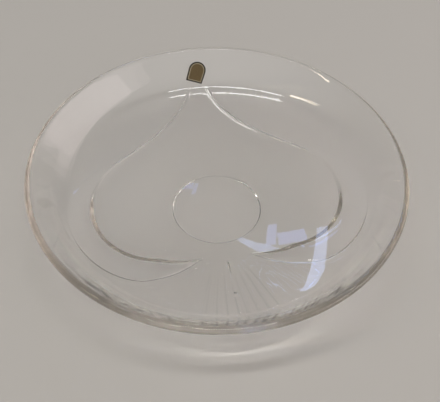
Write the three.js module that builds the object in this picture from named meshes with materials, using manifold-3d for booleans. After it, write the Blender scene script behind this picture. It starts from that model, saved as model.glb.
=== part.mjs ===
import * as THREE from 'three';
import { mergeVertices } from 'three/addons/utils/BufferGeometryUtils.js';
import Module from 'manifold-3d';

// Shallow crystal serving bowl, pressed in one piece, with a small foil label on its inner wall.
// Millimetres, +Z up. The origin is the middle of the flat ground base, where it stands on a table.
// The relief is pressed into the underside and is the same left and right of the YZ plane:
// the fluted fan lies towards -Y, and the narrow neck between the two ridges towards +Y.

// Bowl body
const rimDiameter = 250;
const bowlHeight = 50;
const lipThickness = 4.6;
const kneeRadius = 104; // inside corner where the shallow floor turns up into the wall
const kneeHeight = 30;
const kneeRound = 5; // distance from that corner to where its rounding starts
const outsideKneeRound = 10; // the same for the corner of the underside
const floorRise = THREE.MathUtils.degToRad(23); // slope of the floor where it reaches the knee
const baseThickness = 8;
const kneeThickness = 6.2;
const footDiameter = 62;
const footHeight = 0.8;
const footChamfer = 0.9;

// Ridges and scoops of the underside, as places in plan on the +X side
const neckHalfWidth = 7.5;
const reliefRadius = 103.5; // nothing is pressed in beyond this circle
const ridgeShoulder = new THREE.Vector2(66, 42);
const ridgeWidest = new THREE.Vector2(85.3, -1);
const ridgeFoot = new THREE.Vector2(45, -44.3);
const fanTip = new THREE.Vector2(17, -45.3); // where ridge, scoop and fan meet
const scoopStart = THREE.MathUtils.degToRad(33.5); // direction from the neck in which it leaves the ridge
const scoopWidest = new THREE.Vector2(102.7, -8);
const scoopBottom = new THREE.Vector2(56, -67);
const neckHeading = THREE.MathUtils.degToRad(-82); // ways the lines run, from +X
const shoulderHeading = THREE.MathUtils.degToRad(-41.5);
const scoopHeading = THREE.MathUtils.degToRad(-29);
const straightDown = THREE.MathUtils.degToRad(-90);
const straightIn = THREE.MathUtils.degToRad(-180);
const neckPulls = [0.25, 0.43]; // handles of each curve's two ends, as shares of its length
const shoulderPulls = [0.35, 0.35];
const footPulls = [0.45, 0.4];
const scoopUpperPulls = [0.35, 0.35];
const scoopLowerPulls = [0.4, 0.33];
const scoopSlope = 0.1; // depth of the scoop for each millimetre of its width
const scoopCurve = 5; // how late the scoop's bed comes down to its outer edge
const bevelWidth = 8; // bevel on the inner side of the ridge, from the neck to the widest point
const bevelDepth = 1.1;
const ridgeDraft = 0.5; // width taken by the face of the ridge where there is no scoop

// Fluted fan between the two scoops
const fanPoint = new THREE.Vector2(0, -44);
const fanReach = 60;
const flutePitch = THREE.MathUtils.degToRad(6.65); // between flutes, along the fan's round edge
const flutesPerSide = 10;
const fluteSplay = 0.43; // how much wider the flutes spread near the fan's point
const fluteDepth = 0.4;
const fluteRadius = 4.5;
const fluteStart = 14;
const fanHalfAngle = THREE.MathUtils.degToRad(68);
const veinStart = 5;
const veinEnd = 36;
const veinRadius = 1;
const veinDepth = 0.7;
const beadRadius = 1.7;
const beadDepth = 0.6;

// Foil label
const labelWidth = 13;
const labelHeight = 16;
const labelAboveKnee = 9.5; // label's middle, measured up the wall
const labelTilt = THREE.MathUtils.degToRad(-22);
const adhesiveThickness = 0.2;
const foilThickness = 0.3;
const seatGap = 0.3; // between the glass and the adhesive
const layerGap = 0.1; // between the adhesive and the foil

// Fineness of the facets
const segmentsAround = 120;
const floorRings = 5;
const kneeRings = 3;
const lipAngles = [120, 90, 60, 30, 0]; // degrees, through the lip's top and its outermost point
const scoopRings = [0, 0.14, 0.8, 1]; // places across the scoop, from the ridge to its outer edge
const fluteSteps = 6;
const fluteSides = 8;
const beadSides = 10;
const labelSteps = 8; // along each edge of the label
const lineSteps = 16; // along each curve of the relief
const readingSteps = 40; // along the floor's curve, where heights are read from it

// Half section of the body, with x as the distance from the axis and y as the height
const along = (angle, length) => new THREE.Vector2(Math.cos(angle), Math.sin(angle)).multiplyScalar(length);
const lipRadius = lipThickness / 2;
const lipCentre = new THREE.Vector2(rimDiameter / 2 - lipRadius, bowlHeight - lipRadius);

// Slope of the straight wall that leaves a corner and touches the round lip, inside (+1) or outside (-1)
function wallRise(corner, side) {
  const toLip = lipCentre.clone().sub(corner);
  return toLip.angle() + side * Math.asin(lipRadius / toLip.length());
}

// Curved floor from start to the corner, rounded corner, then straight wall to the lip
function halfSection(start, control, corner, rounding, rise, side) {
  const before = corner.clone().sub(along(floorRise, rounding));
  const after = corner.clone().add(along(rise, rounding));
  const touch = lipCentre.clone().add(along(rise + side * Math.PI / 2, lipRadius));
  const floor = new THREE.QuadraticBezierCurve(start, control, before).getPoints(floorRings);
  const knee = new THREE.QuadraticBezierCurve(before, corner, after).getPoints(kneeRings);
  return [...floor, ...knee.slice(1), touch];
}

const insideCorner = new THREE.Vector2(kneeRadius, kneeHeight);
const insideRise = wallRise(insideCorner, 1);
const insideControl = new THREE.Vector2(
  kneeRadius - (kneeHeight - baseThickness) / Math.tan(floorRise), baseThickness);
const insideStart = new THREE.Vector2(0, baseThickness);
const inside = halfSection(insideStart, insideControl, insideCorner, kneeRound, insideRise, 1);

const acrossKnee = (floorRise + insideRise) / 2 - Math.PI / 2;
const outsideCorner = insideCorner.clone().add(along(acrossKnee, kneeThickness));
const outsideRise = wallRise(outsideCorner, -1);
const footEdge = new THREE.Vector2(footDiameter / 2 + footChamfer, footHeight);
const halfWay = (outsideCorner.x - footEdge.x) / 2;
const outsideControl = outsideCorner.clone().sub(along(floorRise, halfWay / Math.cos(floorRise)));
const outside = halfSection(footEdge, outsideControl, outsideCorner, outsideKneeRound, outsideRise, -1);

// Straight-line reading of a list of [place, value] pairs that climb in place
function readOff(pairs, place) {
  const next = pairs.findIndex(([at]) => at >= place);
  if (next === 0) return pairs[0][1];
  if (next < 0) return pairs.at(-1)[1];
  const [a, low] = pairs[next - 1];
  const [b, high] = pairs[next];
  return low + (high - low) * (place - a) / (b - a);
}

const insideHeight = (radius) => readOff(inside.map((p) => [p.x, p.y]), radius);
const outsideFloorEnd = outsideCorner.clone().sub(along(floorRise, outsideKneeRound));
const outsideFloor = new THREE.QuadraticBezierCurve(
  footEdge, outsideControl, outsideFloorEnd).getPoints(readingSteps);
const outsideFine = [...outsideFloor, ...outside.slice(floorRings + 1)].map((p) => [p.x, p.y]);
const outsideHeight = (radius) => readOff(outsideFine, radius);

// Lines of the relief in plan. Each runs from the neck (direction 0) round to the fan (direction pi).
const direction = (p) => Math.atan2(p.x, p.y);
const polar = (line) => line.map((p) => [direction(p), p.length()]);

// Curve that leaves and arrives with given headings
function sweep(from, leaving, to, arriving, [pullFrom, pullTo]) {
  const span = from.distanceTo(to);
  const first = from.clone().add(along(leaving, pullFrom * span));
  const second = to.clone().sub(along(arriving, pullTo * span));
  return new THREE.CubicBezierCurve(from, first, second, to).getPoints(lineSteps);
}

const neck = new THREE.Vector2(neckHalfWidth, Math.sqrt(reliefRadius ** 2 - neckHalfWidth ** 2));
const ridgePath = [
  ...sweep(neck, neckHeading, ridgeShoulder, shoulderHeading, neckPulls),
  ...sweep(ridgeShoulder, shoulderHeading, ridgeWidest, straightDown, shoulderPulls).slice(1),
  ...sweep(ridgeWidest, straightDown, ridgeFoot, straightIn, footPulls).slice(1),
  fanTip,
];
const ridgePolar = polar([...ridgePath, fanPoint]);
const ridgeRadius = (turn) => readOff(ridgePolar, turn);
const scoopLeaves = along(Math.PI / 2 - scoopStart, ridgeRadius(scoopStart));
const scoopPolar = polar([
  ...sweep(scoopLeaves, scoopHeading, scoopWidest, straightDown, scoopUpperPulls),
  ...sweep(scoopWidest, straightDown, scoopBottom, straightIn, scoopLowerPulls).slice(1),
  fanTip,
]);

// Outer edge of the scoop. Where there is no scoop, it runs close beside the ridge.
function scoopRadius(turn) {
  const beside = ridgeRadius(turn) + ridgeDraft;
  const within = turn > scoopPolar[0][0] && turn < scoopPolar.at(-1)[0];
  return within ? Math.max(readOff(scoopPolar, turn), beside) : beside;
}

// Least distance in plan from a point to the ridge
const spot = new THREE.Vector3();
function toRidge(x, y) {
  const p = new THREE.Vector3(x, y, 0);
  let least = Infinity;
  for (let i = 1; i < ridgePath.length; i += 1) {
    const [a, b] = [ridgePath[i - 1], ridgePath[i]];
    const piece = new THREE.Line3(new THREE.Vector3(a.x, a.y, 0), new THREE.Vector3(b.x, b.y, 0));
    least = Math.min(least, piece.closestPointToPoint(p, true, spot).distanceTo(p));
  }
  return least;
}

// Bevel on the inner side of the ridge: full from the neck to the shoulder, gone at the widest point
function bevel(turn, radius) {
  const fade = 1 - THREE.MathUtils.smoothstep(turn, direction(ridgeShoulder), direction(ridgeWidest));
  const reach = toRidge(radius * Math.sin(turn), radius * Math.cos(turn));
  return bevelDepth * fade * Math.max(0, 1 - reach / bevelWidth);
}

// Rings of the outside in one direction, from the foot to the knee, as [radius, height] pairs
function undersideRings(turn) {
  const ridge = ridgeRadius(turn);
  const scoop = scoopRadius(turn);
  const scoopWidth = scoop - ridge - ridgeDraft;
  const kneeStart = outside[floorRings].x;
  const limit = Math.max(kneeStart, reliefRadius + 2 * ridgeDraft);
  const rings = [];
  for (let i = 0; i <= floorRings; i += 1) {
    const radius = THREE.MathUtils.lerp(footEdge.x, ridge - ridgeDraft / 2, i / floorRings);
    rings.push([radius, outsideHeight(radius) + bevel(turn, radius)]);
  }
  scoopRings.forEach((across) => {
    const radius = THREE.MathUtils.lerp(ridge + ridgeDraft / 2, scoop, across);
    const bed = across > 0 ? 1 - across ** scoopCurve : 0;
    rings.push([radius, outsideHeight(radius) + scoopSlope * Math.max(0, scoopWidth) * bed]);
  });
  for (let i = 1; i <= floorRings; i += 1) {
    const radius = THREE.MathUtils.lerp(scoop, limit, i / floorRings);
    rings.push([radius, outsideHeight(radius)]);
  }
  return rings;
}

// All rings of the body in one direction, from the middle of the inside to the middle of the base
function bodyRings(turn) {
  const lip = lipAngles.map((angle) => {
    const p = lipCentre.clone().add(along(THREE.MathUtils.degToRad(angle), lipRadius));
    return [p.x, p.y];
  });
  const underside = undersideRings(turn);
  const limit = underside.at(-1)[0];
  const wall = outside.slice(floorRings + 1).filter((p) => p.x > limit).map((p) => [p.x, p.y]);
  return [
    ...inside.slice(1).map((p) => [p.x, p.y]),
    ...lip,
    ...wall.reverse(),
    ...underside.reverse(),
    [footDiameter / 2, 0],
  ];
}

// Closed skin over the rings
function bodyGeometry() {
  const positions = [0, 0, baseThickness];
  const indices = [];
  let ringCount = 0;
  for (let s = 0; s < segmentsAround; s += 1) {
    const angle = 2 * Math.PI * s / segmentsAround;
    const turn = Math.abs(angle > Math.PI ? angle - 2 * Math.PI : angle);
    const rings = bodyRings(turn);
    ringCount = rings.length;
    rings.forEach(([radius, height]) => {
      positions.push(radius * Math.sin(angle), radius * Math.cos(angle), height);
    });
  }
  const foot = positions.length / 3;
  positions.push(0, 0, 0);
  const vertex = (s, ring) => 1 + (s % segmentsAround) * ringCount + ring;
  for (let s = 0; s < segmentsAround; s += 1) {
    indices.push(0, vertex(s + 1, 0), vertex(s, 0));
    for (let ring = 1; ring < ringCount; ring += 1) {
      const [a, b] = [vertex(s, ring - 1), vertex(s + 1, ring - 1)];
      const [c, d] = [vertex(s, ring), vertex(s + 1, ring)];
      indices.push(a, b, c, b, d, c);
    }
    indices.push(foot, vertex(s, ringCount - 1), vertex(s + 1, ringCount - 1));
  }
  const geometry = new THREE.BufferGeometry();
  geometry.setAttribute('position', new THREE.Float32BufferAttribute(positions, 3));
  geometry.setIndex(indices);
  return geometry;
}

// Rise per millimetre of a surface at a distance from the axis
const slopeAt = (surface, radius) => surface(radius + 0.5) - surface(radius - 0.5);

// Point on the plain underside, and the way out of the glass there
function undersidePoint(x, y) {
  const radius = Math.hypot(x, y);
  const slope = slopeAt(outsideHeight, radius);
  const out = new THREE.Vector3(slope * x / radius, slope * y / radius, -1).normalize();
  return { point: new THREE.Vector3(x, y, outsideHeight(radius)), out };
}

// Round-bottomed cutter along a line of the fan that bites to the given depth
function groove(line, radius, depth, steps) {
  const centres = line.map(([x, y]) => {
    const { point, out } = undersidePoint(x, y);
    return point.addScaledVector(out, radius - depth);
  });
  const section = new THREE.Shape();
  section.absarc(0, 0, radius, 0, 2 * Math.PI);
  const extrudePath = new THREE.CatmullRomCurve3(centres);
  return new THREE.ExtrudeGeometry(section, { steps, curveSegments: fluteSides / 2, extrudePath });
}

// Middle line of a flute, counted from the fan's axis
function fluteLine(number, side) {
  const edgeAngle = flutePitch * (number + 0.5);
  const entry = fanReach * (edgeAngle / fanHalfAngle) ** (1 / fluteSplay);
  const line = [];
  for (let i = 0; i <= fluteSteps; i += 1) {
    const reach = THREE.MathUtils.lerp(Math.max(fluteStart, entry), fanReach, i / fluteSteps);
    const angle = edgeAngle * (fanReach / reach) ** fluteSplay;
    line.push([side * reach * Math.sin(angle), fanPoint.y - reach * Math.cos(angle)]);
  }
  return line;
}

const wasm = await Module();
wasm.setup();

function toSolid(geometry) {
  const bare = geometry.clone();
  bare.deleteAttribute('normal');
  bare.deleteAttribute('uv');
  const merged = mergeVertices(bare, 1e-4);
  return new wasm.Manifold(new wasm.Mesh({
    numProp: 3,
    vertProperties: new Float32Array(merged.attributes.position.array),
    triVerts: new Uint32Array(merged.index.array),
  }));
}

function toGeometry(solid) {
  const mesh = solid.getMesh();
  const geometry = new THREE.BufferGeometry();
  geometry.setAttribute('position', new THREE.BufferAttribute(mesh.vertProperties, 3));
  geometry.setIndex(new THREE.BufferAttribute(mesh.triVerts, 1));
  geometry.computeVertexNormals();
  return geometry;
}

// Crystal body with the fan's flutes, its vein and the bead at the vein's end cut in
function crystalBody() {
  const cutters = [];
  for (let number = 0; number < flutesPerSide; number += 1) {
    for (const side of [-1, 1]) {
      cutters.push(groove(fluteLine(number, side), fluteRadius, fluteDepth, fluteSteps));
    }
  }
  const vein = [veinStart, (veinStart + veinEnd) / 2, veinEnd].map((reach) => [0, fanPoint.y - reach]);
  cutters.push(groove(vein, veinRadius, veinDepth, 2));
  const bead = new THREE.SphereGeometry(beadRadius, beadSides, beadSides - 2);
  const { point, out } = undersidePoint(0, fanPoint.y - veinEnd - beadRadius);
  point.addScaledVector(out, beadRadius - beadDepth);
  cutters.push(bead.translate(point.x, point.y, point.z));
  let solid = toSolid(bodyGeometry());
  cutters.forEach((cutter) => {
    solid = solid.subtract(toSolid(cutter));
  });
  return toGeometry(solid);
}

// Label outline: square foot and round top, centred on its own middle
function labelOutline() {
  const half = labelWidth / 2;
  const foot = -labelHeight / 2;
  const shoulder = labelHeight / 2 - half;
  const edges = new THREE.Path();
  edges.moveTo(-half, foot);
  edges.lineTo(half, foot);
  edges.lineTo(half, shoulder);
  edges.absarc(0, shoulder, half, 0, Math.PI);
  edges.lineTo(-half, foot);
  return new THREE.Shape(edges.curves.flatMap((edge) => edge.getPoints(labelSteps).slice(1)));
}

// Layer of the label, bent to the inner wall, with its underside the given distance off the glass
function labelLayer(lift, thickness) {
  const layer = new THREE.ExtrudeGeometry(labelOutline(), { depth: thickness, bevelEnabled: false });
  layer.rotateZ(labelTilt);
  const wallFoot = kneeRadius + Math.cos(insideRise) * labelAboveKnee;
  const corners = layer.attributes.position;
  for (let i = 0; i < corners.count; i += 1) {
    const [across, up, off] = [corners.getX(i), corners.getY(i), corners.getZ(i) + lift];
    const radius = wallFoot + Math.cos(insideRise) * up;
    const lean = Math.atan(slopeAt(insideHeight, radius));
    const out = radius - off * Math.sin(lean);
    const height = insideHeight(radius) + off * Math.cos(lean);
    const angle = across / wallFoot;
    corners.setXYZ(i, out * Math.sin(angle), out * Math.cos(angle), height);
  }
  layer.computeVertexNormals();
  return layer;
}

function named(name, geometry, colour, roughness, metalness, extra = {}) {
  const material = new THREE.MeshStandardMaterial({ color: colour, roughness, metalness, ...extra });
  const mesh = new THREE.Mesh(geometry, material);
  mesh.name = name;
  return mesh;
}

const bowl = new THREE.Group();
const clear = { transparent: true, opacity: 0.35 };
bowl.add(named('crystal_body', crystalBody(), 0xe6e8e2, 0.03, 0, clear));
bowl.add(named('label_adhesive', labelLayer(seatGap, adhesiveThickness), 0xd8d2bc, 0.5, 0));
const foilLift = seatGap + adhesiveThickness + layerGap;
bowl.add(named('label_foil', labelLayer(foilLift, foilThickness), 0x6b5a33, 0.4, 0.8));

export default bowl;
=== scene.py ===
import math

import bmesh
import bpy
import numpy as np
from mathutils import Euler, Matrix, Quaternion, Vector


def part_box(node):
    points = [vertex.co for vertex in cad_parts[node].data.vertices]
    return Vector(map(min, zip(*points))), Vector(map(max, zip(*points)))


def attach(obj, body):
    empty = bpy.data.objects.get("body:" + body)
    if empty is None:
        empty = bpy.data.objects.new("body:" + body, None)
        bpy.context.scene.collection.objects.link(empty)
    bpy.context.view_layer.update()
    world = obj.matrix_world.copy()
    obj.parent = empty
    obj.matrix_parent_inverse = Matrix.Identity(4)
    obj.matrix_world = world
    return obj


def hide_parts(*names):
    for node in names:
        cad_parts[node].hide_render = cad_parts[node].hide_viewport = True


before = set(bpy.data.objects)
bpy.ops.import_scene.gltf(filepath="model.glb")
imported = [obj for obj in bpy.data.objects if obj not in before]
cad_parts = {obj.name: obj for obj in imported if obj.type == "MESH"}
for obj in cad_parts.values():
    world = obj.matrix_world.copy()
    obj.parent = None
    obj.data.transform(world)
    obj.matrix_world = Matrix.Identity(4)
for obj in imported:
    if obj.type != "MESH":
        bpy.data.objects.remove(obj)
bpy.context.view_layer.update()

# Shallow bowl of pressed lead crystal with a small foil label inside its far wall.
# Metres. The bowl stands at the origin, its fluted fan towards -Y and its neck towards +Y.
MM = 0.001

# Bowl section, in millimetres
body_low, body_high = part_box("crystal_body")
RIM_RADIUS = body_high.x / MM
BOWL_HEIGHT = body_high.z / MM
LIP_RADIUS = 2.3
KNEE_RADIUS = 104
KNEE_HEIGHT = 30
KNEE_ROUND = 5
OUTER_KNEE_ROUND = 10
FLOOR_RISE = math.radians(23)
BASE_THICKNESS = 8
KNEE_THICKNESS = 6.2
FOOT_RADIUS = 31
FOOT_HEIGHT = 1.1
FOOT_CHAMFER = 0.55
BASE_RINGS = (1, 0.97, 0.5, 0)

# Relief pressed into the underside, in plan, in millimetres
NECK = (7.4, 106)
RIDGE_SHOULDER = (66, 42)
RIDGE_WIDEST = (85.3, -1)
RIDGE_FOOT = (45, -44.3)
FAN_TIP = (17, -45.3)
FAN_POINT = (0, -44)
SCOOP_START = math.radians(33.5)
SCOOP_WIDEST = (102.7, -8)
SCOOP_BOTTOM = (56, -65.3)
NECK_HEADING = math.radians(-82)
SHOULDER_HEADING = math.radians(-41.5)
SCOOP_HEADING = math.radians(-29)
STRAIGHT_DOWN = math.radians(-90)
STRAIGHT_IN = math.radians(-180)
SCOOP_SLOPE = 0.1
SCOOP_CURVE = 3
SCOOP_CRISP = math.radians(118)
SCOOP_LEAST_WIDTH = 0.5
# A small step outside each scoop marks its outer line
EDGE_DEPTH = 0.4
EDGE_FACE = 0.8
EDGE_RETURN = 7
RISER_SHARE = 0.14
RISER_ROUNDING = 0.25
# Inside the ridge a curved bevel rises to the crest, and outside it a narrow face drops again
BEVEL_WIDTH = 8
BEVEL_DEPTH = 0.68
BEVEL_CURVE = 3
RIDGE_FACE = 1.3
SLANT_LIMIT = 4
RELIEF_FADE = (102, 106)
RELIEF_MARGIN = 0.5
FAN_REACH = 60
FAN_END_FADE = 1.5
FAN_HALF_ANGLE = math.radians(68)
FAN_SIDE_FADE = 0.05
FLUTE_PITCH = math.radians(6.65)
FLUTE_SPLAY = 0.43
FLUTE_DEPTH = 0.6
FLUTE_START = 8
FLUTE_FADE = 20
# Flutes lean a little to one side, as the mould was cut
FLUTE_SKEW = 0.5
VEIN_START = 5
VEIN_FADE = 3
VEIN_THINNING = 0.85
VEIN_END = 36
VEIN_HALF_WIDTH = 0.9
VEIN_DEPTH = 0.6
BEAD_RADIUS = 2
BEAD_DEPTH = 0.6

# Foil label on the inner wall, in millimetres
LABEL_WIDTH = 13
LABEL_HEIGHT = 16
LABEL_ABOVE_KNEE = 9.5
LABEL_TILT = math.radians(-22)
LABEL_LIFT = 0.6
LABEL_ARCH_STEPS = 14
LABEL_CUTS = 9
LABEL_CUT_REACH = 0.4
LABEL_WELD = 0.05
FOIL_THICKNESS = 0.3
BORDER_WIDTH = 1
LINE_WIDTH = 0.6

# Fineness: rings of the section, and columns as (degrees, steps), counterclockwise from +X
INSIDE_RINGS = (20, 8, 8)
LIP_RINGS = 14
OUTER_WALL_RINGS = 8
OUTER_KNEE_RINGS = 12
CURVE_STEPS = 300
KNEE_STEPS = 60
SWEEP_STEPS = 80
# Rings of the underside lie closest at the foot, the ridge and the scoop's outer line
STATION_RINGS = (1, 7, 12, 14, 18, 6, 40)
FOOT_BORDER = 1.5
EDGE_BORDER = 1.2
LEAST_GAP = 0.5
SPREAD_TURN = 0.15
SPREAD_SHARE = 0.3
RING_MATCH = 0.02
WELD = 0.004
SMOOTH_BELOW = math.radians(40)
COLUMNS = ((76, 50), (28, 70), (126, 84), (37, 106), (6, 30), (37, 106), (50, 33))

# Camera, found from the outlines of the rim and of the foot: place in metres, turns in degrees
CAMERA_PLACE = (-0.0511, -0.3119, 0.3846)
CAMERA_DIP = 49.65
CAMERA_HEADING = -9.7
CAMERA_ROLL = 1.57
SENSOR_WIDTH = 36
FOCAL_PIXELS = 700
FRAME_PIXELS = 440

# Stage: floor in metres and its drop below the foot in millimetres, direction of the sky's glow
FLOOR_SIZE = 8
FLOOR_DROP = 0.1
GLOW_WAY = (0.153, 0.582, 0.799)
BOUNCES = 40

# Places of the colour sockets on a Mix node
MIX_A, MIX_B, MIX_RESULT = 6, 7, 2


def node_values(hex_colour):
    """Linear RGBA of an sRGB hex colour"""
    parts = [int(hex_colour[i:i + 2], 16) / 255 for i in (1, 3, 5)]
    return [p / 12.92 if p <= 0.04045 else ((p + 0.055) / 1.055) ** 2.4 for p in parts] + [1]


def add(tree, kind, links=None, **settings):
    """Adds a node. A setting is a property or an input; links feed inputs, by name or number."""
    node = tree.nodes.new(kind)
    for key, value in settings.items():
        if hasattr(node, key):
            setattr(node, key, value)
        else:
            node.inputs[key.replace("_", " ")].default_value = value
    for key, source in (links or {}).items():
        tree.links.new(source, node.inputs[key])
    return node


# Section of the bowl

def along(angle, length):
    return np.array([math.cos(angle), math.sin(angle)]) * length


def bezier(points, count):
    """Points on a Bezier curve through its two end points"""
    t = np.linspace(0, 1, count + 1)[:, None]
    degree = len(points) - 1
    return sum(math.comb(degree, i) * (1 - t) ** (degree - i) * t ** i * np.array(p, float)
               for i, p in enumerate(points))


lip_centre = np.array([RIM_RADIUS - LIP_RADIUS, BOWL_HEIGHT - LIP_RADIUS])


def wall_rise(corner, side):
    """Slope of the straight wall that leaves a corner and touches the round lip"""
    across, up = lip_centre - corner
    return math.atan2(up, across) + side * math.asin(LIP_RADIUS / math.hypot(across, up))


inside_corner = np.array([KNEE_RADIUS, KNEE_HEIGHT], float)
inside_rise = wall_rise(inside_corner, 1)
outside_corner = inside_corner + along((FLOOR_RISE + inside_rise - math.pi) / 2, KNEE_THICKNESS)
outside_rise = wall_rise(outside_corner, -1)
foot_edge = np.array([FOOT_RADIUS + FOOT_CHAMFER, FOOT_HEIGHT])
outside_control = outside_corner - along(
    FLOOR_RISE, (outside_corner[0] - foot_edge[0]) / 2 / math.cos(FLOOR_RISE))


def knee(corner, rise, rounding, count):
    """Rounded bend between the floor and the wall"""
    return bezier([corner - along(FLOOR_RISE, rounding), corner,
                   corner + along(rise, rounding)], count)


def inside_section():
    """From the middle of the floor up the wall to the lip"""
    floor_count, knee_count, wall_count = INSIDE_RINGS
    control = [KNEE_RADIUS - (KNEE_HEIGHT - BASE_THICKNESS) / math.tan(FLOOR_RISE), BASE_THICKNESS]
    rounding = knee(inside_corner, inside_rise, KNEE_ROUND, knee_count)
    floor = bezier([[0, BASE_THICKNESS], control, rounding[0]], floor_count)
    touch = lip_centre + along(inside_rise + math.pi / 2, LIP_RADIUS)
    wall = bezier([rounding[-1], touch], wall_count)
    return np.vstack([floor, rounding[1:], wall[1:]])


def lip_section():
    """Round lip, with a ring exactly at its top and one at its widest"""
    angles = np.linspace(inside_rise + math.pi / 2, outside_rise - math.pi / 2, LIP_RINGS + 1)
    angles[np.argmin(abs(angles - math.pi / 2))] = math.pi / 2
    angles[np.argmin(abs(angles))] = 0
    return lip_centre + LIP_RADIUS * np.column_stack([np.cos(angles), np.sin(angles)])


underside = np.vstack([
    bezier([foot_edge, outside_control, outside_corner - along(FLOOR_RISE, OUTER_KNEE_ROUND)], CURVE_STEPS),
    knee(outside_corner, outside_rise, OUTER_KNEE_ROUND, KNEE_STEPS)[1:]])
RELIEF_LIMIT = RELIEF_FADE[1] + RELIEF_MARGIN


def underside_height(radius):
    return np.interp(radius, underside[:, 0], underside[:, 1])


# Lines of the relief in plan, read as a distance from the axis in each direction from the neck

def sweep(start, leaving, end, arriving, pulls):
    """Curve between two places that leaves and arrives with given headings"""
    span = math.dist(start, end)
    return bezier([start, np.array(start) + along(leaving, pulls[0] * span),
                   np.array(end) - along(arriving, pulls[1] * span), end], SWEEP_STEPS)


ridge_path = np.vstack([
    sweep(NECK, NECK_HEADING, RIDGE_SHOULDER, SHOULDER_HEADING, pulls=(0.25, 0.43)),
    sweep(RIDGE_SHOULDER, SHOULDER_HEADING, RIDGE_WIDEST, STRAIGHT_DOWN, pulls=(0.35, 0.35))[1:],
    sweep(RIDGE_WIDEST, STRAIGHT_DOWN, RIDGE_FOOT, STRAIGHT_IN, pulls=(0.45, 0.4))[1:],
    [FAN_TIP]])


def polar(path):
    """Turn from the neck, and distance from the axis"""
    return np.arctan2(path[:, 0], path[:, 1]), np.hypot(path[:, 0], path[:, 1])


ridge_polar = polar(np.vstack([ridge_path, [FAN_POINT]]))


def ridge_radius(turn):
    return np.interp(turn, *ridge_polar)


scoop_leaves = along(math.pi / 2 - SCOOP_START, ridge_radius(SCOOP_START))
scoop_polar = polar(np.vstack([
    sweep(scoop_leaves, SCOOP_HEADING, SCOOP_WIDEST, STRAIGHT_DOWN, pulls=(0.35, 0.35)),
    sweep(SCOOP_WIDEST, STRAIGHT_DOWN, SCOOP_BOTTOM, STRAIGHT_IN, pulls=(0.4, 0.33))[1:],
    [FAN_TIP]]))


def scoop_radius(turn):
    """Outer line of the scoop, and the ridge where there is no scoop"""
    within = (turn > scoop_polar[0][0]) & (turn < scoop_polar[0][-1])
    ridge = ridge_radius(turn)
    return np.where(within, np.maximum(np.interp(turn, *scoop_polar), ridge), ridge)


def slant(turn):
    """How much longer a radial step is than a square one, across the ridge"""
    step = 0.002
    climb = (ridge_radius(turn + step) - ridge_radius(turn - step)) / (2 * step)
    return np.minimum(np.hypot(1, climb / ridge_radius(turn)), SLANT_LIMIT)


def smooth(value, low, high):
    """Soft step from 0 to 1"""
    t = np.clip((value - low) / (high - low), 0, 1)
    return t * t * (3 - 2 * t)


def distance_to_ridge(x, y):
    """Least distance in plan to the ridge line"""
    start, end = ridge_path[:-1], ridge_path[1:]
    way = end - start
    dx, dy = x[:, None] - start[:, 0], y[:, None] - start[:, 1]
    share = np.clip((dx * way[:, 0] + dy * way[:, 1]) / (way ** 2).sum(1), 0, 1)
    return np.hypot(dx - share * way[:, 0], dy - share * way[:, 1]).min(1)


def fan_depth(x, y):
    """Depth of the flutes, the vein and the bead of the fan"""
    reach = np.hypot(x, y - FAN_POINT[1])
    angle = np.arctan2(np.abs(x), FAN_POINT[1] - y)
    at_edge = angle * (np.maximum(reach, 1) / FAN_REACH) ** FLUTE_SPLAY
    phase = 2 * math.pi * at_edge / FLUTE_PITCH
    flute = (1 - np.cos(phase + FLUTE_SKEW * np.sign(x) * (1 - np.cos(phase)))) / 2
    inside = 1 - smooth(reach, FAN_REACH - FAN_END_FADE, FAN_REACH)
    inside *= smooth(reach, FLUTE_START, FLUTE_START + FLUTE_FADE)
    inside *= 1 - smooth(angle, FAN_HALF_ANGLE - FAN_SIDE_FADE, FAN_HALF_ANGLE)
    down = FAN_POINT[1] - y
    taper = smooth(down, VEIN_START, VEIN_START + VEIN_FADE)
    taper *= 1 - smooth(down, VEIN_START, VEIN_END) * VEIN_THINNING
    vein = taper * (down < VEIN_END) * np.clip(1 - np.abs(x) / VEIN_HALF_WIDTH, 0, 1)
    bead = np.clip(1 - (x ** 2 + (down - VEIN_END - BEAD_RADIUS) ** 2) / BEAD_RADIUS ** 2, 0, 1)
    inside *= (reach / FAN_REACH) ** (1 - FLUTE_SPLAY)
    return FLUTE_DEPTH * flute * inside + VEIN_DEPTH * vein + BEAD_DEPTH * bead


def relief_depth(turn, radius):
    """How deep the relief is pressed at a place of the underside"""
    x, y = radius * np.sin(turn), radius * np.cos(turn)
    ridge, scoop = ridge_radius(turn), scoop_radius(turn)
    shoulder, widest = polar(np.array([RIDGE_SHOULDER, RIDGE_WIDEST]))[0]
    off = distance_to_ridge(x, y)
    inner_face = np.clip(1 - off / BEVEL_WIDTH, 0, 1) ** BEVEL_CURVE
    bevel = np.where(radius > ridge, 1 - smooth(off, 0, RIDGE_FACE), inner_face)
    bevel *= BEVEL_DEPTH * (1 - smooth(turn, shoulder, widest))
    width = np.maximum(scoop - ridge, 1e-6)
    across = np.clip((radius - ridge) / width, 0, 1)
    climb = np.clip(across / RISER_SHARE, 0, 1)
    riser = climb + RISER_ROUNDING * (smooth(climb, 0, 1) - climb)
    crisp = smooth(turn, widest, SCOOP_CRISP) * (width > SCOOP_LEAST_WIDTH)
    beyond = radius - scoop
    edge = EDGE_DEPTH * crisp * smooth(beyond, 0, EDGE_FACE)
    edge *= 1 - smooth(beyond, EDGE_FACE, EDGE_RETURN)
    bed = crisp * (1 - across ** SCOOP_CURVE) + (1 - crisp) * (1 - across ** 2)
    hollow = SCOOP_SLOPE * width * bed * riser + edge
    fade = 1 - smooth(radius, *RELIEF_FADE)
    return fade * (bevel + hollow) + fan_depth(x, y)


# Making of the body

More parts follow.
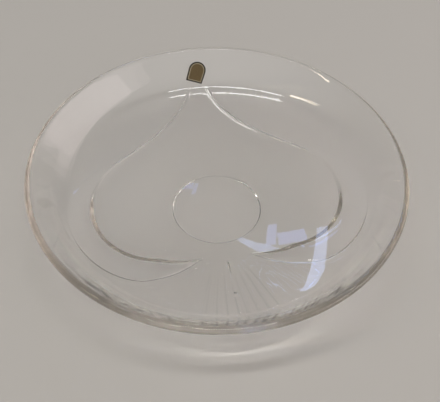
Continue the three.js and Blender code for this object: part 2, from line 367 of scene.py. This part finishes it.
def start_piece(add_primitive, **settings):
    """Adds a primitive with nothing else selected, and goes into edit mode"""
    bpy.ops.object.select_all(action="DESELECT")
    add_primitive(**settings)
    piece = bpy.context.object
    bpy.ops.object.mode_set(mode="EDIT")
    bpy.ops.mesh.select_all(action="SELECT")
    return piece


def end_piece(piece, name):
    """Leaves edit mode, with the place in the mesh and the object at the origin"""
    bpy.ops.object.mode_set(mode="OBJECT")
    bpy.ops.object.transform_apply(location=True, rotation=True, scale=True)
    piece.name = name
    piece.data.name = name
    return piece


def section_line():
    """The whole section, from the middle of the inside to the middle of the base"""
    inside = inside_section()
    lip = lip_section()
    touch = lip_centre + along(outside_rise - math.pi / 2, LIP_RADIUS)
    wall = bezier([touch, underside[-1]], OUTER_WALL_RINGS)
    down_to = np.linspace(underside[-1][0], RELIEF_LIMIT, OUTER_KNEE_RINGS + 1)[1:]
    bend = np.column_stack([down_to, underside_height(down_to)])
    floor_places = np.linspace(RELIEF_LIMIT, foot_edge[0], sum(STATION_RINGS) + 1)[1:]
    floor = np.column_stack([floor_places, underside_height(floor_places)])
    base = [[FOOT_RADIUS * share, 0] for share in BASE_RINGS]
    first_floor = len(inside) + len(lip) - 1 + len(wall) - 1 + len(bend) - 1
    return np.vstack([inside, lip[1:], wall[1:], bend, floor, base]), first_floor


def spun_shell(section):
    """One point drawn out along the section, then spun round the axis"""
    piece = start_piece(bpy.ops.mesh.primitive_plane_add, size=MM,
                        location=(section[0][0] * MM, 0, section[0][1] * MM))
    bpy.ops.mesh.merge(type="CENTER")
    for step in np.diff(section, axis=0) * MM:
        bpy.ops.mesh.extrude_region_move(TRANSFORM_OT_translate={"value": (step[0], 0, step[1])})
    bpy.ops.mesh.select_all(action="SELECT")
    for degrees, steps in COLUMNS:
        bpy.ops.mesh.spin(steps=steps, angle=math.radians(degrees), center=(0, 0, 0), axis=(0, 0, 1))
    bpy.ops.mesh.select_all(action="SELECT")
    bpy.ops.mesh.remove_doubles(threshold=WELD * MM)
    bpy.ops.mesh.normals_make_consistent(inside=False)
    return piece


def slide_and_press(piece, section, first_floor):
    """Slides the underside's rings onto the lines of the relief and presses the relief in"""
    count = len(piece.data.vertices)
    corners = np.empty(count * 3)
    piece.data.vertices.foreach_get("co", corners)
    corners = corners.reshape(-1, 3) / MM
    radius = np.hypot(corners[:, 0], corners[:, 1])
    last_floor = first_floor + sum(STATION_RINGS)
    places = section[first_floor:last_floor + 1]
    gap = np.hypot(radius[:, None] - places[:, 0], corners[:, 2:] - places[:, 1])
    ring = gap.argmin(1)
    on_floor = gap.min(1) < RING_MATCH
    ring = sum(STATION_RINGS) - ring[on_floor]
    turn = np.arctan2(np.abs(corners[on_floor, 0]), corners[on_floor, 1])
    ridge, scoop = ridge_radius(turn), scoop_radius(turn)
    face = np.maximum(RIDGE_FACE * slant(turn), RISER_SHARE * (scoop - ridge))
    spread = smooth(turn, scoop_polar[0][-1], scoop_polar[0][-1] + SPREAD_TURN) * (RELIEF_LIMIT - ridge)
    outer = np.maximum(scoop, ridge + face + LEAST_GAP) + spread * SPREAD_SHARE
    inner = np.maximum(ridge - BEVEL_WIDTH * slant(turn), (ridge + foot_edge[0]) / 2)
    foot = np.full_like(turn, foot_edge[0])
    limit = np.full_like(turn, RELIEF_LIMIT)
    anchors = [foot, foot + FOOT_BORDER, inner, ridge, ridge + face, outer, outer + EDGE_BORDER, limit]
    anchors = np.minimum(anchors, RELIEF_LIMIT)
    stations = np.concatenate([[0], np.cumsum(STATION_RINGS)])
    part = np.clip(np.searchsorted(stations, ring, side="right") - 1, 0, len(STATION_RINGS) - 1)
    pick = np.arange(len(turn))
    share = (ring - stations[part]) / (stations[part + 1] - stations[part])
    new_radius = anchors[part, pick] * (1 - share) + anchors[part + 1, pick] * share
    stretch = new_radius / radius[on_floor]
    corners[on_floor, 0] *= stretch
    corners[on_floor, 1] *= stretch
    corners[on_floor, 2] = underside_height(new_radius) + relief_depth(turn, new_radius)
    piece.data.vertices.foreach_set("co", (corners * MM).ravel())
    piece.data.update()


def crystal_bowl():
    section, first_floor = section_line()
    piece = end_piece(spun_shell(section), "crystal_bowl")
    slide_and_press(piece, section, first_floor)
    bpy.ops.object.shade_smooth_by_angle(angle=SMOOTH_BELOW)
    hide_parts("crystal_body")
    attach(piece, "root")
    return piece


bowl = crystal_bowl()


# Making of the label

def inside_height(radius):
    section = inside_section()
    return np.interp(radius, section[:, 0], section[:, 1])


def bend_to_wall(piece):
    """Turns a flat sheet to the label's tilt and lays it on the inner wall"""
    wall_foot = KNEE_RADIUS + math.cos(inside_rise) * LABEL_ABOVE_KNEE
    for vertex in piece.data.vertices:
        x, y, off = vertex.co / MM
        across = x * math.cos(LABEL_TILT) - y * math.sin(LABEL_TILT)
        up = x * math.sin(LABEL_TILT) + y * math.cos(LABEL_TILT)
        radius = wall_foot + math.cos(inside_rise) * up
        lean = math.atan(inside_height(radius + 0.5) - inside_height(radius - 0.5))
        out = radius - off * math.sin(lean)
        height = inside_height(radius) + off * math.cos(lean)
        angle = across / wall_foot
        vertex.co = Vector((out * math.sin(angle), out * math.cos(angle), height)) * MM
    piece.data.update()


def label_foil(border, line, panel):
    """Foil with a square foot and a round top, printed with a border and a line inside it"""
    piece = start_piece(bpy.ops.mesh.primitive_plane_add, size=MM)
    for material in (border, line, panel):
        piece.data.materials.append(material)
    bpy.ops.transform.resize(value=(LABEL_WIDTH, LABEL_HEIGHT, 1))
    sheet = bmesh.from_edit_mesh(piece.data)
    for corner in sheet.verts:
        corner.select = corner.co.y > 0
    sheet.select_flush_mode()
    bpy.ops.mesh.bevel(offset=LABEL_WIDTH / 2 * MM, segments=LABEL_ARCH_STEPS, affect="VERTICES")
    bpy.ops.mesh.select_all(action="SELECT")
    bpy.ops.mesh.remove_doubles(threshold=LABEL_WELD * MM)
    for number, width in ((1, BORDER_WIDTH), (2, LINE_WIDTH)):
        bpy.ops.mesh.inset(thickness=width * MM)
        piece.active_material_index = number
        bpy.ops.object.material_slot_assign()
    # Cuts across the sheet, so that it can follow the round wall
    for cut in np.linspace(-LABEL_CUT_REACH, LABEL_CUT_REACH, LABEL_CUTS):
        bpy.ops.mesh.select_all(action="SELECT")
        bpy.ops.mesh.bisect(plane_co=(cut * LABEL_WIDTH * MM, 0, 0), plane_no=(1, 0, 0))
        bpy.ops.mesh.select_all(action="SELECT")
        bpy.ops.mesh.bisect(plane_co=(0, cut * LABEL_HEIGHT * MM, 0), plane_no=(0, 1, 0))
    bpy.ops.mesh.select_all(action="SELECT")
    bpy.ops.transform.translate(value=(0, 0, LABEL_LIFT * MM))
    bpy.ops.mesh.extrude_region_move(TRANSFORM_OT_translate={"value": (0, 0, FOIL_THICKNESS * MM)})
    bpy.ops.mesh.select_all(action="SELECT")
    bpy.ops.mesh.normals_make_consistent(inside=False)
    piece = end_piece(piece, "foil_label")
    bend_to_wall(piece)
    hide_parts("label_foil")
    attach(piece, "root")


# Finishes

def new_material(name):
    material = bpy.data.materials.new(name)
    material.use_nodes = True
    tree = material.node_tree
    tree.nodes.clear()
    shader = add(tree, "ShaderNodeBsdfPrincipled")
    add(tree, "ShaderNodeOutputMaterial", {"Surface": shader.outputs["BSDF"]})
    return material, tree, shader


# Lead crystal, pressed hot in a mould and fire polished: clear, almost colourless and bright at its edges
def pressed_crystal():
    material, tree, shader = new_material("pressed_lead_crystal")
    shader.inputs["Base Color"].default_value = node_values("#FFFFFF")
    shader.inputs["Transmission Weight"].default_value = 1
    shader.inputs["IOR"].default_value = 1.545
    shader.inputs["Roughness"].default_value = 0
    depth = add(tree, "ShaderNodeVolumeAbsorption", Color=node_values("#F4F2EF"), Density=22)
    output = next(node for node in tree.nodes if node.type == "OUTPUT_MATERIAL")
    tree.links.new(depth.outputs["Volume"], output.inputs["Volume"])
    return material


def mottled(tree, shader, scale, dark, light, dull, bright):
    """Colour and roughness that wander a little between two values, in patches of a given scale"""
    place = add(tree, "ShaderNodeTexCoord")
    patches = add(tree, "ShaderNodeTexNoise", {"Vector": place.outputs["Object"]}, Scale=scale, Detail=4.0)
    colour = add(tree, "ShaderNodeMix", {"Factor": patches.outputs["Fac"]}, data_type="RGBA")
    colour.inputs[MIX_A].default_value = node_values(dark)
    colour.inputs[MIX_B].default_value = node_values(light)
    tree.links.new(colour.outputs[MIX_RESULT], shader.inputs["Base Color"])
    gloss = add(tree, "ShaderNodeMapRange", {"Value": patches.outputs["Fac"]}, To_Min=dull, To_Max=bright)
    tree.links.new(gloss.outputs["Result"], shader.inputs["Roughness"])


# Aluminium foil printed in a dark and a dull gold ink, so that its shine is low and warm.
# Its ink is mottled in patches of about 1.1 mm.
def printed_foil(name, dark, light):
    material, tree, shader = new_material(name)
    shader.inputs["Metallic"].default_value = 0.5
    shader.inputs["Specular IOR Level"].default_value = 0.2
    mottled(tree, shader, scale=900, dark=dark, light=light, dull=0.38, bright=0.5)
    return material


# Clear acrylic adhesive film, slightly creamy, with the soft unevenness of a pressed-down film,
# in patches of about 1.4 mm
def adhesive_film():
    material, tree, shader = new_material("acrylic_adhesive_film")
    mottled(tree, shader, scale=700, dark="#C9C3AE", light="#DAD5C4", dull=0.3, bright=0.45)
    return material


bowl.data.materials.append(pressed_crystal())
label_foil(printed_foil("foil_border_print", "#16110D", "#1E1813"),
           printed_foil("foil_line_print", "#8E8570", "#9C937D"),
           printed_foil("foil_panel_print", "#55472F", "#68583D"))
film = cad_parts["label_adhesive"]
film.data.materials.clear()
film.data.materials.append(adhesive_film())
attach(film, "root")


# Stage

def plain_floor():
    """A plain floor just below the foot"""
    bpy.ops.object.select_all(action="DESELECT")
    bpy.ops.mesh.primitive_plane_add(size=FLOOR_SIZE, location=(0, 0, -FLOOR_DROP * MM))
    floor = bpy.context.object
    floor.name = "floor"
    material, tree, shader = new_material("matt_floor")
    shader.inputs["Base Color"].default_value = node_values("#C3BFB8")
    shader.inputs["Roughness"].default_value = 0.9
    floor.data.materials.append(material)


def sky():
    """Even light that is brighter from the near side, with a soft glow high over the far side"""
    world = bpy.data.worlds.new("studio")
    bpy.context.scene.world = world
    world.use_nodes = True
    tree = world.node_tree
    tree.nodes.clear()
    place = add(tree, "ShaderNodeTexCoord")
    way = add(tree, "ShaderNodeSeparateXYZ", {0: place.outputs["Generated"]})
    level = add(tree, "ShaderNodeMapRange", {"Value": way.outputs["Y"]},
                From_Min=-1, From_Max=0.2, To_Min=1.37, To_Max=0.24)
    facing = add(tree, "ShaderNodeVectorMath", {0: place.outputs["Generated"]}, operation="DOT_PRODUCT")
    facing.inputs[1].default_value = GLOW_WAY
    glow = add(tree, "ShaderNodeMapRange", {"Value": facing.outputs["Value"]},
               interpolation_type="SMOOTHSTEP", From_Min=0.89, To_Max=0.5)
    both = add(tree, "ShaderNodeMath", {0: level.outputs["Result"], 1: glow.outputs["Result"]})
    light = add(tree, "ShaderNodeBackground", {"Strength": both.outputs["Value"]})
    add(tree, "ShaderNodeOutputWorld", {"Surface": light.outputs["Background"]})


def softbox(name, place, aim, width, height, radiance, colour="#FFFFFF", roll=0):
    """A rectangular lamp of a given brightness that faces a place, rolled by some degrees"""
    lamp = bpy.data.lights.new(name, "AREA")
    lamp.shape = "RECTANGLE"
    lamp.size, lamp.size_y = width, height
    lamp.energy = radiance * math.pi * width * height
    lamp.color = node_values(colour)[:3]
    box = bpy.data.objects.new(name, lamp)
    bpy.context.scene.collection.objects.link(box)
    box.location = place
    box.rotation_mode = "QUATERNION"
    facing = (Vector(aim) - Vector(place)).to_track_quat("-Z", "Y")
    box.rotation_quaternion = facing @ Quaternion((0, 0, 1), math.radians(roll))


def photo_camera():
    """Camera at the photograph's place and angle"""
    camera = bpy.data.cameras.new("camera")
    camera.sensor_width = SENSOR_WIDTH
    camera.lens = SENSOR_WIDTH * FOCAL_PIXELS / FRAME_PIXELS
    view = bpy.data.objects.new("camera", camera)
    bpy.context.scene.collection.objects.link(view)
    view.location = CAMERA_PLACE
    turn = Euler((math.radians(90 - CAMERA_DIP), 0, math.radians(CAMERA_HEADING)))
    roll = Euler((0, 0, math.radians(CAMERA_ROLL)))
    view.rotation_euler = (turn.to_matrix() @ roll.to_matrix()).to_euler()
    bpy.context.scene.camera = view


plain_floor()
sky()
# Two long lamps overhead in one line, the second one warmer
softbox("tube", (-0.128, -0.126, 1.4), (-0.128, -0.126, 0), width=0.965, height=0.08, radiance=15)
softbox("warm_tube", (-1.36, -0.265, 1.4), (-1.36, -0.265, 0), width=0.775, height=0.07, radiance=15,
        colour="#FFF0D8", roll=-11)
# A wide panel at the right, in three layers of growing length, so that its ends are soft
for back, length in ((0, 2.1), (0.02, 2.7), (0.04, 3.3)):
    softbox("side_panel", (1.674 + back, -0.295, 0.79), (0, 0, 0), width=length, height=1.1,
            radiance=0.46, colour="#FFF0F0")
# Small bluish panels beyond the far side, mirrored in the near half of the floor and wall
softbox("far_panel", (-0.133, 3.183, 2.418), (0, 0, 0), width=0.25, height=0.28, radiance=3.6,
        colour="#9CB3FF", roll=-10)
softbox("narrow_panel", (0.02, 3.095, 2.534), (0, 0, 0), width=0.088, height=0.47, radiance=3.6,
        colour="#9CB3FF", roll=-13)
softbox("slanting_strip", (-0.168, 3.543, 1.849), (0, 0, 0), width=0.1, height=1.5, radiance=4.4,
        colour="#B6CCFF", roll=-22)
photo_camera()
bpy.context.scene.view_settings.view_transform = "Standard"
# Light that enters the rim is led a long way between the two faces of the wall
for limit in ("max_bounces", "glossy_bounces", "transmission_bounces"):
    setattr(bpy.context.scene.cycles, limit, BOUNCES)
# Light that comes through the glass keeps its strength and its sharp lines on the floor
bpy.context.scene.cycles.sample_clamp_indirect = 0
bpy.context.scene.cycles.blur_glossy = 0
